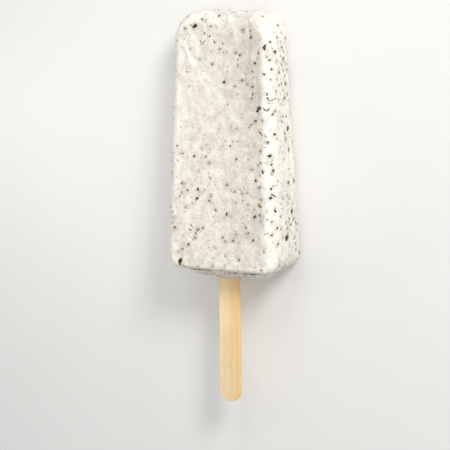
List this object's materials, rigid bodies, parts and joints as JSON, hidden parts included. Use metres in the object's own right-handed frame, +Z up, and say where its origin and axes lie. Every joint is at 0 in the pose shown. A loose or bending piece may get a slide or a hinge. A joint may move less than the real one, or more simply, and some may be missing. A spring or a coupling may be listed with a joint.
{
  "type": "ice cream bar",
  "caption": "Tapered cookies-and-cream ice cream bar with round rims and dark biscuit crumbs, on a flat wooden stick, lying on its back.",
  "frame": {"origin": "on the ground, under the middle of the bar and its stick", "axes": "+Y from the stick's end to the bar's tip, +Z up out of the shown face, +X to the right with the tip ahead"},
  "size_m": [0.0533, 0.1683, 0.0275],
  "materials": {
    "ice_cream": "satin frozen cream, off-white, with dark biscuit crumbs",
    "stick": "bare pale wood",
    "crumbs": "dark baked biscuit"
  },
  "bodies": {
    "root": {"ice_cream": "ice_cream", "stick": "stick"}
  },
  "joints": []
}
